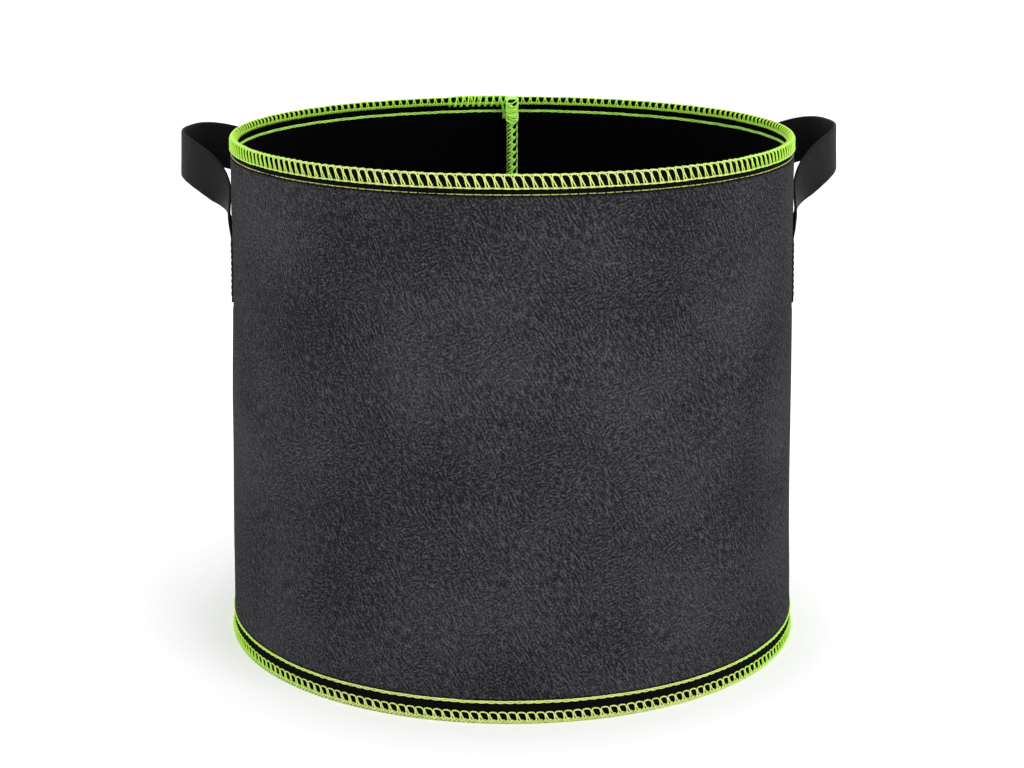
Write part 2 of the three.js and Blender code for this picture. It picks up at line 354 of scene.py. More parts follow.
def thread_material(name, colour, highlight, shade, unlit_sides=None):
    """Textured polyester sewing thread. Its filaments are crimped, so it has a soft sheen. It is
    darkened with painted shade in patches every few millimetres, and its fine crests carry painted
    highlights. Where a colour is given for the sides, painted light makes the thread pale at the
    front, and it turns to that colour round the bag."""
    material, tree = new_material(name)
    place = add(tree, "ShaderNodeTexCoord").outputs["Object"]
    lie = add(tree, "ShaderNodeTexNoise", {"Vector": place, "Scale": 1 / 0.0045, "Detail": 2.0})
    filaments = add(tree, "ShaderNodeTexNoise", {
        "Vector": place, "Scale": 1 / 0.0005, "Detail": 2.0, "Roughness": 0.6})
    tone = add(tree, "ShaderNodeMapRange", {
        "Value": lie.outputs["Fac"], "From Min": 0.35, "From Max": 0.62})
    # Painted shade: the thread darkens in patches every few millimetres
    first = add(tree, "ShaderNodeMix", {
        "Factor": tone.outputs["Result"], 6: linear(shade), 7: linear(colour)}, data_type="RGBA")
    # Painted highlight: the fine crests turn towards the highlight colour
    highlight_share = add(tree, "ShaderNodeMapRange", {
        "Value": filaments.outputs["Fac"], "From Min": 0.45, "From Max": 0.75})
    second = add(tree, "ShaderNodeMix", {
        "Factor": highlight_share.outputs["Result"], 6: first.outputs[2], 7: linear(highlight)},
        data_type="RGBA")
    # Painted light: the front, at y = -0.15 m, is palest, and the change to the side colour takes
    # the next 0.09 m
    towards_back = add(tree, "ShaderNodeSeparateXYZ", {"Vector": place}).outputs["Y"]
    painted_light_falloff = add(tree, "ShaderNodeMapRange", {
        "Value": towards_back, "From Min": -0.145, "From Max": -0.055,
        "To Max": 0.85 if unlit_sides else 0.0}, interpolation_type="SMOOTHSTEP")
    third = add(tree, "ShaderNodeMix", {
        "Factor": painted_light_falloff.outputs["Result"], 6: second.outputs[2],
        7: linear(unlit_sides or colour)}, data_type="RGBA")
    relief = add(tree, "ShaderNodeBump", {
        "Height": filaments.outputs["Fac"], "Strength": 0.35, "Distance": 0.0002})
    close_material(tree, {
        "Base Color": third.outputs[2], "Roughness": 0.5, "Normal": relief.outputs["Normal"],
        "Specular IOR Level": 0.35, "Sheen Weight": 0.15, "Sheen Roughness": 0.4})
    return material


# Cloth panels -----------------------------------------------------------------------------------

def flat_cloth(across, along, thickness):
    """The upper face of a flat slab of cloth, ruled at the given places in mm."""
    bm = bmesh.new()
    columns, rows = len(across) - 1, len(along) - 1
    bmesh.ops.create_grid(bm, x_segments=columns, y_segments=rows, size=0.5)
    for vert in bm.verts:
        vert.co.x = across[round((vert.co.x + 0.5) * columns)]
        vert.co.y = along[round((vert.co.y + 0.5) * rows)]
        vert.co.z = thickness / 2
    return bm


def thicken(bm, thickness):
    """Gives a flat cloth its lower face and edges, and writes its flat place as UVs in metres.
    Faces of material 0 look up, and all others are of material 1."""
    bmesh.ops.recalc_face_normals(bm, faces=bm.faces)
    if next(iter(bm.faces)).normal.z < 0:
        bmesh.ops.reverse_faces(bm, faces=bm.faces)
    made = bmesh.ops.extrude_face_region(bm, geom=bm.faces[:])
    lower = [item for item in made["geom"] if isinstance(item, bmesh.types.BMVert)]
    bmesh.ops.translate(bm, verts=lower, vec=(0, 0, -thickness))
    bmesh.ops.recalc_face_normals(bm, faces=bm.faces)
    layer = bm.loops.layers.uv.new("cloth")
    for face in bm.faces:
        face.material_index = 0 if face.normal.z > 0.5 else 1
        for loop in face.loops:
            loop[layer].uv = (loop.vert.co.x * MM, loop.vert.co.y * MM)


def spaced(start, stop, step):
    """Even steps of about the given size, from start to just before stop."""
    count = max(1, round((stop - start) / step))
    return [start + (stop - start) * i / count for i in range(count)]


def strip_place(s, foot):
    """Where the middle of the side panel's strip runs, and which way is out, s mm from its start.
    foot is 1 where both ends turn in as the fin of the seam, and 0 where they only meet."""
    if s > STRIP_LENGTH / 2:
        place, out = strip_place(STRIP_LENGTH - s, foot)
        return Vector((-place.x, place.y)), Vector((-out.x, out.y))
    if s < FLAP:
        return Vector((FLAP_X, FIN_EDGE + s)), Vector((-1, 0))
    if s < FLAP + BEND_LENGTH:
        angle = math.pi - (s - FLAP) / BEND
        out = Vector((math.cos(angle), math.sin(angle)))
        share = (s - FLAP) / BEND_LENGTH
        closed = math.pi / 2 - CLOSED_GAP
        meeting = closed + (BEND_END - closed) * share
        flat = Vector((math.cos(meeting), math.sin(meeting)))
        place = (BEND_CENTRE + BEND * out).lerp(MIDDLE * flat, 1 - foot)
        return place, out.lerp(flat, 1 - foot).normalized()
    angle = BEND_END - (s - FLAP - BEND_LENGTH) / MIDDLE
    out = Vector((math.cos(angle), math.sin(angle)))
    return MIDDLE * out, out


def half_thickness(from_edge):
    """Half the felt's thickness near a raw edge, which the stitches press round."""
    inset = min(ROUNDING, max(0.0, ROUNDING - from_edge))
    return max(0.45, math.sqrt(ROUNDING ** 2 - inset ** 2))


def stitch_dents(z, angle, stitches):
    """How deep the rows of stitches pull the felt in at a place, in mm. It swells a little past
    them."""
    at_top = z > HEIGHT / 2
    from_edge = HEIGHT - z if at_top else z
    needle_row = OVERLOCK if at_top else BOTTOM_OVERLOCK
    chain_row = CHAIN if at_top else BOTTOM_CHAIN
    holes = 0.5 + 0.5 * math.cos(stitches * angle)
    needle = math.exp(-((from_edge - needle_row) / 0.9) ** 2)
    chain = math.exp(-((from_edge - chain_row) / 0.8) ** 2)
    swell = math.exp(-((from_edge - chain_row - 3.5) / 2.6) ** 2)
    return needle * (0.22 + 0.2 * holes) + chain * (0.34 + 0.26 * holes) - 0.22 * swell


def strip_rows():
    """Heights to rule the strip at: close by its edges, for the dents of the stitches, and behind
    the sewn ends of the handles."""
    near_edge = [0, 0.35, 0.9, 1.7, 2.8, 4.2, 5.4, 6.2, 7, 7.8, 8.7, 9.6, 10.05, 10.5, 10.95,
                 11.5, 12.4, 13.6, FIN_START]
    low = [EDGE + d if d < 2 else d for d in near_edge]
    high = [HEIGHT - z for z in reversed(low)]
    sewn_from, sewn_to = SEWN_FOOT - 5, SEWN_TOP + SINK_FADE
    return (low + [FIN_FOOT] + spaced(FIN_FOOT + 3, sewn_from, 7)
            + spaced(sewn_from, sewn_to, 3) + spaced(sewn_to, high[0], 6) + high)


def strip_columns(stitches):
    """Places along the strip to rule it at: two for every stitch round the bag."""
    turn = math.pi / stitches
    first, last = math.ceil(-1.5 * math.pi / turn + 1.6), math.floor(math.pi / 2 / turn - 1.6)
    round_from = FLAP + BEND_LENGTH
    round_part = [round_from + (BEND_END - turn * i) * MIDDLE for i in range(last, first - 1, -1)]
    half = spaced(0, FLAP, 2.4) + spaced(FLAP, round_from, 0.7) + [round_from]
    return half + round_part + [STRIP_LENGTH - s for s in reversed(half)]


class GROWBAG_OT_side_panel(bpy.types.Operator):
    """Bend one strip of felt round into the wall, with both ends turned in as its seam's fin"""
    bl_idname = "growbag.side_panel"
    bl_label = "Side Panel"

    def execute(self, context):
        look = context.scene.grow_bag_look
        stitches = context.scene.grow_bag_sizes.stitches
        bm = flat_cloth(strip_columns(stitches), strip_rows(), FELT)
        notch = [face for face in bm.faces
                 if face.calc_center_median().y < FIN_FOOT
                 and not FLAP < face.calc_center_median().x < STRIP_LENGTH - FLAP]
        bmesh.ops.delete(bm, geom=notch, context="FACES")
        thicken(bm, FELT)
        # The flaps lie inside the bag, so both of their faces take the inner face's painted shade
        for face in bm.faces:
            s = face.calc_center_median().x
            if min(s, STRIP_LENGTH - s) < FLAP + 0.4 * BEND_LENGTH:
                face.material_index = 1
        for vert in bm.verts:
            s, z, side = vert.co.x, vert.co.y, math.copysign(1, vert.co.z)
            foot = clamped((z - FIN_START) / (FIN_FOOT - FIN_START))
            place, out = strip_place(s, foot)
            through = half_thickness(min(z - EDGE, HEIGHT - EDGE - z))
            if FLAP + BEND_LENGTH < s < STRIP_LENGTH - FLAP - BEND_LENGTH:
                angle = math.atan2(out.y, out.x)
                through -= 0.8 * stitch_dents(z, angle, stitches)
                if side > 0:
                    through -= webbing_dent(angle, z)
            elif side > 0:
                through = ROUNDING
            place = place + side * through * out
            vert.co = (place.x, place.y, z)
        felt = felt_material("needle_punched_felt_outer_face", look.felt_light, look.felt_dark,
                             look.felt_margin_shade)
        # Painted shade: the inner face is the same felt, coloured near-black for the shade inside
        # the bag
        inner = felt_material("needle_punched_felt_inner_face_painted_shade", look.inner_shade_crests, look.inner_shade_hollows,
                              look.inner_shade_hollows)
        panel = finish_piece(bm, "side_panel_cloth", [felt, inner], ["side_panel"])
        return {"FINISHED"}


def rising(share, outer, lift):
    """(radius, height) on the bottom's slope, from the flat middle up to its seam."""
    return FLAT_MIDDLE + (outer - FLAT_MIDDLE) * share, BOTTOM_RISE * share ** 2 + lift


class GROWBAG_OT_bottom_panel(bpy.types.Operator):
    """Spin the felt disc of the bottom, raised to its seam and turned down inside the wall"""
    bl_idname = "growbag.bottom_panel"
    bl_label = "Bottom Panel"

    def execute(self, context):
        look = context.scene.grow_bag_look
        flat_rings = (0, 30, 60, 85)
        underside = [(r, 0) for r in flat_rings]
        underside += [rising(x / 9, SKIRT_INNER - 1.2, 0) for x in range(9)]
        underside += [(SKIRT_INNER - 0.9, 11.9), (SKIRT_INNER, 11.0), (SKIRT_INNER, 7.0),
                      (SKIRT_INNER, 3.0), (SKIRT_INNER + 0.5, EDGE + 0.4)]
        topside = [(SKIRT_OUTER - 0.5, EDGE + 0.4), (SKIRT_OUTER, 3.0), (SKIRT_OUTER, 7.0),
                   (SKIRT_OUTER, 11.5), (SKIRT_OUTER - 0.7, 13.9), (SKIRT_OUTER - 2.0, 14.7)]
        topside += [rising(x / 9, SKIRT_INNER - 1.8, FELT) for x in range(8, -1, -1)]
        topside += [(r, FELT) for r in reversed(flat_rings)]
        bm = bmesh.new()
        verts = [bm.verts.new((r, 0, z)) for r, z in underside + topside]
        edges = [bm.edges.new(pair) for pair in zip(verts, verts[1:])]
        bmesh.ops.spin(bm, geom=verts + edges, cent=(0, 0, 0), axis=(0, 0, 1),
                       angle=2 * math.pi, steps=180, use_merge=True)
        bmesh.ops.remove_doubles(bm, verts=bm.verts, dist=1e-4)
        for vert in bm.verts:
            if math.hypot(vert.co.x, vert.co.y) < 130 and vert.co.z > 1:
                vert.co.z += 0.7 * noise.noise(Vector((vert.co.x / 34, vert.co.y / 34, 5.0)))
        # The disc's cloth UVs stay clear of the heights at which the wall has its margins of
        # painted shade
        layer = bm.loops.layers.uv.new("cloth")
        for face in bm.faces:
            for loop in face.loops:
                x, y, z = loop.vert.co
                loop[layer].uv = (x * MM + 0.5, y * MM * 0.3 + 0.14)
        # Painted shade: the bottom is the same felt as the wall, coloured darker for the shade
        # under and inside the bag
        felt = felt_material("needle_punched_felt_bottom_painted_shade", look.bottom_shade_crests, look.bottom_shade_hollows,
                             look.inner_shade_hollows)
        panel = finish_piece(bm, "bottom_panel_cloth", [felt], ["bottom_panel"])
        return {"FINISHED"}


# Sewing threads ---------------------------------------------------------------------------------

THREAD_SIDES = 5


def add_thread(bm, points, radius):
    """A round thread through the points: a closed ring of edges, pushed from point to point."""
    points = [Vector(point) for point in points]
    last = len(points) - 1
    ahead = [(points[min(i + 1, last)] - points[max(i - 1, 0)]).normalized()
             for i in range(last + 1)]
    start = Matrix.Translation(points[0]) @ ahead[0].to_track_quat("Z", "Y").to_matrix().to_4x4()
    ring = bmesh.ops.create_circle(bm, cap_ends=True, segments=THREAD_SIDES, radius=radius,
                                   matrix=start)["verts"]
    edges = list(dict.fromkeys(edge for vert in ring for edge in vert.link_edges))
    for i in range(1, last + 1):
        made = bmesh.ops.extrude_edge_only(bm, edges=edges)["geom"]
        ring = [item for item in made if isinstance(item, bmesh.types.BMVert)]
        edges = [item for item in made if isinstance(item, bmesh.types.BMEdge)
                 and all(vert in ring for vert in item.verts)]
        turn = ahead[i - 1].rotation_difference(ahead[i]).to_matrix().to_4x4()
        step = Matrix.Translation(points[i]) @ turn @ Matrix.Translation(-points[i - 1])
        bmesh.ops.transform(bm, matrix=step, verts=ring)
    bmesh.ops.edgeloop_fill(bm, edges=edges)


def wander(bm, amount, seed):
    """Makes a seam uneven: no two stitches lie quite alike."""
    noise.seed_set(seed + 1)
    offset = Vector((seed * 17.3, seed * 5.1, seed * 9.7))
    for vert in bm.verts:
        fine = noise.noise_vector(vert.co / 6.5 + offset)
        broad = noise.noise_vector(vert.co / 31 + offset)
        shift = amount * (fine + 0.8 * broad)
        outward = Vector((vert.co.x, vert.co.y, 0)).normalized()
        vert.co += shift - 0.65 * shift.dot(outward) * outward


def round_seam(cells, thread, stitches, phase=0.0):
    """A ring seam: every cell is a path of (stitches along, radius, height), sewn all round."""
    bm = bmesh.new()
    turn = 360 / stitches
    for path in cells:
        add_thread(bm, [on_cylinder(r, -90 + (u + phase) * turn, z) for u, r, z in path], thread)
    bmesh.ops.spin(bm, geom=bm.verts[:] + bm.edges[:] + bm.faces[:], cent=(0, 0, 0),
                   axis=(0, 0, 1), angle=math.radians(turn * (stitches - 1)),
                   steps=stitches - 1, use_duplicate=True)
    return bm


# A loop of an overlock stitch, in stitches along and shares of its height: narrow at its foot,
# widest above the middle and round at its head
LOOP = [(-0.30, 0.0), (-0.36, 0.26), (-0.42, 0.52), (-0.44, 0.78), (-0.33, 0.94), (0.0, 1.0),
        (0.33, 0.94), (0.44, 0.78), (0.42, 0.52), (0.36, 0.26), (0.30, 0.0), (0.5, -0.05),
        (0.70, 0.0)]

# A link of a chain stitch, in stitches along and mm to either side
LINK = [(-0.12, 0.0), (0.12, 0.32), (0.42, 0.47), (0.72, 0.42), (1.02, 0.2), (1.1, 0.0),
        (1.02, -0.2), (0.72, -0.42), (0.42, -0.47), (0.12, -0.32), (-0.12, 0.0)]


def over_rim(side, climb, lift):
    """(radius, height) of a thread climb mm up from the needle line, on the outer (1) or inner
    (-1) face of the rim and then over its rounded edge."""
    straight = OVERLOCK - EDGE - ROUNDING
    middle, centre = RADIUS - ROUNDING, HEIGHT - EDGE - ROUNDING
    if climb < straight:
        return middle + side * (ROUNDING + lift), HEIGHT - OVERLOCK + climb
    angle = (climb - straight) / ROUNDING
    reach = ROUNDING + lift
    return middle + side * reach * math.cos(angle), centre + reach * math.sin(angle)


def rope(line, radius, start, side, wide):
    """One strand of a two-strand rope that turns once per stitch, about a line at a height."""
    path, steps = [], 8
    for i in range(steps + 1):
        turn = 2 * math.pi * (i / steps + start)
        path.append((i / steps, radius + side * wide * (1 + math.cos(turn)) / 2 * 1.3,
                     line + wide * math.sin(turn)))
    return path


def chain_links(line, radius, side):
    """A link of a chain that stands off the felt in its middle."""
    return [(u, radius + side * (0.2 + 0.35 * math.sin(math.pi * clamped(u))), line + w)
            for u, w in LINK]


def lime_threads(look):
    """The lime thread of the outer seams, paled with painted light and palest at the front, and
    that of the inner ones.
    """
    # The outer thread is the lime thread in painted light: paler, and palest at the front
    lit_pale = thread_material("textured_polyester_thread_lime_in_painted_light", look.lit_pale_lime,
                           look.lit_pale_lime_highlight, look.lit_pale_lime_shade, look.unlit_side_lime)
    lime = thread_material("textured_polyester_thread_lime", look.lime, look.lime_highlight,
                           look.lime_shade)
    return lit_pale, lime


def sunk_thread(look):
    # Painted shade: the sunk chain stitches are coloured darker and duller for the shade in their
    # groove, where felt fibres also cover them
    return thread_material("textured_polyester_thread_sunk_in_felt", look.sunk_lime,
                           look.lit_pale_lime, look.sunk_lime_shade)


def sink_stitches(bm):
    """Pulls a row of stitches deeper into the felt here and there, until some vanish."""
    for vert in bm.verts:
        angle = math.atan2(vert.co.y, vert.co.x)
        pull = noise.noise(Vector((6 * math.cos(angle), 6 * math.sin(angle), 2.2)))
        inward = 0.04 + 0.40 * max(0.0, pull)
        vert.co.x -= inward * math.cos(angle)
        vert.co.y -= inward * math.sin(angle)


class GROWBAG_OT_rim_seam(bpy.types.Operator):
    """Sew the overlock over the rim and the chain stitch below it"""
    bl_idname = "growbag.rim_seam"
    bl_label = "Rim Seam"

    def execute(self, context):
        sizes, look = context.scene.grow_bag_sizes, context.scene.grow_bag_look
        thread, stitches = sizes.thread / MM / 2, sizes.stitches
        lit_pale, lime = lime_threads(look)
        look_of = {"rim_chain_looper_thread": lime, "rim_chain_needle_thread": sunk_thread(look)}
        slant = 0.5
        outer = []
        for u, w in LOOP:
            r, z = over_rim(1, max(0, w) * 5.9, 0.30 + 0.12 * w)
            outer.append((u - slant * w, r, z + min(0, w) * 4))
        inner = []
        for u, w in LOOP:
            r, z = over_rim(-1, 2.6 + max(0, w) * 4.6, 0.40)
            inner.append((0.5 + u - slant, r, z + min(0, w) * 4))
        needle_line = HEIGHT - OVERLOCK - 0.35
        needle = [(u, RADIUS + out, needle_line - sag) for u, out, sag in (
            (0.0, 0.1, 0), (0.15, 0.42, 0.12), (0.5, 0.5, 0.2), (0.85, 0.42, 0.12), (1.0, 0.1, 0))]
        inner_line = HEIGHT - OVERLOCK + 2.5
        chain_line = HEIGHT - CHAIN
        dash = [(u, RADIUS - depth, chain_line) for u, depth in (
            (0.02, 0.75), (0.1, 0.42), (0.25, 0.28), (0.5, 0.24), (0.75, 0.28), (0.9, 0.42),
            (0.98, 0.75))]
        ropes = [rope(inner_line, INNER_RADIUS - 0.1, start, -1, wide=0.6) for start in (0, 0.5)]
        link = chain_links(chain_line + 1.2, INNER_RADIUS + 0.1, -1)
        rows = [
            ("rim_overlock_outer_looper", [outer], thread),
            ("rim_overlock_inner_looper", [inner, ropes[0]], thread),
            ("rim_overlock_needle_thread", [needle, ropes[1]], thread * 0.9),
            ("rim_chain_needle_thread", [dash], thread * 0.8),
            ("rim_chain_looper_thread", [link], thread * 0.95),
        ]
        for seed, (node, cells, radius) in enumerate(rows):
            sunk = node == "rim_chain_needle_thread"
            bm = round_seam(cells, radius, stitches)
            wander(bm, 0.08 if sunk else 0.2, seed)
            if sunk:
                sink_stitches(bm)
            finish_piece(bm, node + "_sewn", [look_of.get(node, lit_pale)], [node])
        return {"FINISHED"}


class GROWBAG_OT_bottom_seam(bpy.types.Operator):
    """Sew the overlock over the bottom edge and the chain stitch above it"""
    bl_idname = "growbag.bottom_seam"
    bl_label = "Bottom Seam"

    def execute(self, context):
        sizes, look = context.scene.grow_bag_sizes, context.scene.grow_bag_look
        thread, stitches = sizes.thread / MM / 2, sizes.stitches
        lit_pale, lime = lime_threads(look)
        outer = [(u - 0.35 * w, RADIUS + 0.42 - 0.15 * w, 1.15 + max(0, w) * 4.95)
                 for u, w in LOOP]
        edge_ropes = [rope(1.2, RADIUS - 0.1, start, 1, wide=0.72) for start in (0, 0.5)]
        inner = [(0.5 + u, SKIRT_INNER - 0.35, 1.6 + max(0, w) * 4.6) for u, w in LOOP]
        under = [(0.17, SKIRT_INNER - 0.35, 1.6), (0.14, SKIRT_INNER + 0.1, 0.62),
                 (0.1, SKIRT_INNER + 1.5, 0.52), (0.0, INNER_RADIUS, 0.52),
                 (-0.1, RADIUS - 1.2, 0.52), (-0.14, RADIUS - 0.1, 0.6),
                 (-0.17, RADIUS + 0.35, 1.3)]
        inside = SKIRT_INNER - 0.3
        needle_line = BOTTOM_OVERLOCK + 0.7
        needle = [(0.0, inside + 0.4, needle_line), (0.2, inside, needle_line),
                  (0.8, inside, needle_line), (1.0, inside + 0.4, needle_line)]
        dash = [(u, r, BOTTOM_CHAIN) for u, r, z in needle]
        link = chain_links(BOTTOM_CHAIN, RADIUS - 0.1, 1)
        rows = [
            ("bottom_overlock_outer_looper", [outer, edge_ropes[0], under], thread),
            ("bottom_overlock_inner_looper", [inner, edge_ropes[1]], thread),
            ("bottom_overlock_needle_thread", [needle], thread * 0.9),
            ("bottom_chain_needle_thread", [dash], thread * 0.8),
            ("bottom_chain_looper_thread", [link], thread * 0.95),
        ]
        for seed, (node, cells, radius) in enumerate(rows):
            bm = round_seam(cells, radius, stitches, phase=0.3)
            wander(bm, 0.15, seed + 10)
            colour = lime if "needle" in node else lit_pale
            finish_piece(bm, node + "_sewn", [colour], [node])
        return {"FINISHED"}


def round_fin(side, reach, lift):
    """(x, y) of a thread reach mm from the needle line, on one face of the fin and then round its
    edge."""
    straight = OVERLOCK - FIN_CORNER
    if reach < straight:
        return side * (FIN_HALF + lift), FIN_EDGE + OVERLOCK - reach
    angle = (reach - straight) / FIN_CORNER
    if angle < math.pi / 2:
        out = FIN_CORNER + lift
        return (side * (FIN_HALF - FIN_CORNER + out * math.cos(angle)),
                FIN_EDGE + FIN_CORNER - out * math.sin(angle))
    beyond = reach - straight - FIN_CORNER * math.pi / 2
    return side * (FIN_HALF - FIN_CORNER - beyond), FIN_EDGE - lift


def fin_climb(reach):
    """How far a thread slants up while it goes round the fin's edge, in stitches."""
    return 0.72 * max(0, reach - 5.6) / 3.7


def upright_seam(cells, thread, from_z, pitch, count):
    """A straight seam up the fin: every cell is a path of (stitches along, x, y)."""
    bm = bmesh.new()
    for path in cells:
        add_thread(bm, [(x, y, from_z + u * pitch) for u, x, y in path], thread)
    bmesh.ops.spin(bm, geom=bm.verts[:] + bm.edges[:] + bm.faces[:], cent=(0, 0, 0),
                   axis=(0, 0, 1), dvec=(0, 0, pitch), angle=0, steps=count - 1,
                   use_duplicate=True)
    return bm


class GROWBAG_OT_side_seam(bpy.types.Operator):
    """Sew the fin of the side seam, and the knotted crossing where it meets the rim"""
    bl_idname = "growbag.side_seam"
    bl_label = "Side Seam"

    def execute(self, context):
        sizes, look = context.scene.grow_bag_sizes, context.scene.grow_bag_look
        thread, stitches = sizes.thread / MM / 2, sizes.stitches
        lime = lime_threads(look)[1]
        foot, top = FIN_FOOT + 1.5, HEIGHT - 4
        count = round((top - foot) / (2 * math.pi * RADIUS / stitches))
        pitch = (top - foot) / count
        mouth = FIN_EDGE + OVERLOCK
        loops = {}
        for side, lift, shift in ((-1, 0.3, 0.0), (1, 0.4, 0.45)):
            path = []
            for u, w in LOOP:
                reach = max(0, w) * 9.3
                path.append((u - side * fin_climb(reach) + shift, *round_fin(side, reach, lift)))
            loops[side] = path
        strand = []
        for i in range(8):
            reach = 3.2 + 6.6 * i / 7
            strand.append((fin_climb(reach), *round_fin(-1, reach, 0.5)))
        face = FIN_HALF + 0.3
        needle = [(0.0, -face + 0.5, mouth + 0.7), (0.2, -face, mouth + 0.7),
                  (0.8, -face, mouth + 0.7), (1.0, -face + 0.5, mouth + 0.7)]
        chain_y = FIN_EDGE + CHAIN
        dash = [(u, x, chain_y) for u, x, y in needle]
        link = [(u, face + 0.1 + 0.3 * math.sin(math.pi * clamped(u)), chain_y + w)
                for u, w in LINK]
        rows = [
            ("seam_overlock_upper_looper", [loops[-1], strand], thread * 1.12),
            ("seam_overlock_lower_looper", [loops[1]], thread * 1.12),
            ("seam_overlock_needle_thread", [needle], thread * 0.9),
            ("seam_chain_needle_thread", [dash], thread * 0.7),
            ("seam_chain_looper_thread", [link], thread * 0.95),
        ]
        for seed, (node, cells, radius) in enumerate(rows):
            bm = upright_seam(cells, radius, foot, pitch, count)
            wander(bm, 0.16, seed + 20)
            finish_piece(bm, node + "_sewn", [lime], [node])
        self.knot(thread, stitches, lime)
        return {"FINISHED"}

    def knot(self, thread, stitches, lime):
        """The overlock's start and finish: turns heaped on the fin's top, threads over it,
        stitches sewn twice beside it, and the cut chain's tail."""
        bm = bmesh.new()
        add_thread(bm, fin_winding(), thread)
        face, felt_top = FIN_HALF + 0.35, HEIGHT - EDGE + 0.35
        for i in range(6):
            y = FIN_EDGE + 1.3 + 2.1 * i
            add_thread(bm, [
                (-face, y, HEIGHT - 7), (-face, y, HEIGHT - 2), (-face + 1, y + 0.3, felt_top),
                (face - 1, y + 0.9, felt_top), (face, y + 1.2, HEIGHT - 2),
                (face, y + 1.2, HEIGHT - 7)], thread)
        turn = 360 / stitches
        for i in range(9):
            offset = 1.6 + i * 0.83
            for side, shift in ((1, 0.3), (-1, 0.0)):
                path = []
                for u, w in LOOP[:-2]:
                    r, z = over_rim(side, 0.6 + max(0, w) * 6.2, 0.75 + 0.2 * (i % 2))
                    path.append(on_cylinder(r, 90 + (offset + shift + u - 0.4 * w) * turn, z))
                add_thread(bm, path, thread)
        for strand in range(3):
            add_thread(bm, tail_strand(strand / 3), thread * 0.8)
        wander(bm, 0.2, 31)
        finish_piece(bm, "rim_crossing_knot", [lime], [])


def fin_winding():
    """One thread wound to and fro round the top of the fin, every pass at another slope."""
    passes, top, drop, girth, steps = 19, HEIGHT - 0.8, 10.5, 18.2, 12
    slopes = (0.9, -0.5, 0.2, -0.9, 0.6)
    winding = []
    for i in range(passes):
        for j in range(steps + 1):
            share = j / steps if i % 2 == 0 else 1 - j / steps
            reach = girth * share
            side = -1 if reach < girth / 2 else 1
            x, y = round_fin(side, min(reach, girth - reach), 0.5 + 0.45 * ((i * 7) % 4) / 3)
            heap = 1.8 * noise.noise(Vector((i * 1.7, j * 0.45, 4.2)))
            sag = (2.2 + 1.6 * (i % 3)) * (1 - abs(2 * share - 1))
            slope = 7 * slopes[i % 5] * (share - 0.5)
            z = top - drop * (i + j / steps) / passes - sag + heap + slope
            winding.append((x, y, min(z, top)))
    return winding


def tail_strand(phase):
    """One of the twisted strands of the tail, which hangs inside the rim and frays at its end."""
    points = []
    for j in range(22):
        along = j / 21
        twist = 2 * math.pi * (along * 3.4 + phase)
        spread = 0.55 + 0.5 * along ** 3
        painted_light_falloff = 7.2 - 2.2 * math.sin(1.9 * along) + spread * math.sin(twist)
        points.append(on_cylinder(INNER_RADIUS - 1.5 - spread * (1 + math.cos(twist)) * 0.8,
                                  90 + degrees_along(painted_light_falloff), HEIGHT - 3.0 - 10.5 * along))
    return points


# Handles ----------------------------------------------------------------------------------------

def signed_power(value, power):
    return math.copysign(abs(value) ** power, value)


def strap_azimuth(handle, angle):
    """Where round the bag the free strap is, at an angle along its arch."""
    return handle["azimuth"] - degrees_along(
        LEG_HALF_SPACING * signed_power(math.cos(angle), ARCH_POWER))


def strap_centre(handle, angle):
    """Middle of the free strap: angle 0 and pi are its sewn ends, and pi/2 the top of its arch."""
    lift = (handle["reach"] - WEBBING) * abs(math.sin(angle)) ** LIFT_DELAY
    return on_cylinder(STRAP_RADIUS + lift, strap_azimuth(handle, angle),
                       SEWN_TOP + handle["rise"] * math.sin(angle))


def strap_frames(handle, count):
    """Evenly spaced (centre, width direction, outward normal) along the whole strap, and its
    length."""
    fine, nudge, quarter = 721, 0.012, math.pi / 2
    angles = [math.pi * i / (fine - 1) for i in range(fine)]
    places = [strap_centre(handle, angle) for angle in angles]
    walked = [0.0]
    for before, after in zip(places, places[1:]):
        walked.append(walked[-1] + (after - before).length)
    total = walked[-1] + 2 * SEWN_HEIGHT
    frames, at = [], 0
    for i in range(count + 1):
        length = total * i / count - SEWN_HEIGHT
        while at < fine - 2 and walked[at + 1] < length:
            at += 1
        inside = min(walked[-1], max(0.0, length))
        share = (inside - walked[at]) / (walked[at + 1] - walked[at])
        angle = angles[at] + (angles[at + 1] - angles[at]) * share
        centre = strap_centre(handle, angle)
        outward = Vector((centre.x, centre.y, 0)).normalized()
        centre -= SEWN_SINK * sink_share(min(inside, walked[-1] - inside)) * outward
        below = inside - length if length < 0 else length - inside
        centre.z -= below
        turn = quarter * signed_power((angle - quarter) / quarter, TURN_DELAY)
        if below > 0:
            ahead = Vector((0, 0, 1 if length < 0 else -1))
        else:
            clear = min(math.pi - nudge, max(nudge, angle))
            ahead = strap_centre(handle, clear + nudge) - strap_centre(handle, clear - nudge)
            ahead.normalize()
        width = on_cylinder(math.sin(turn), strap_azimuth(handle, angle) + 90, math.cos(turn))
        width = (width - width.dot(ahead) * ahead).normalized()
        frames.append((centre, width, ahead.cross(width)))
    return frames, total


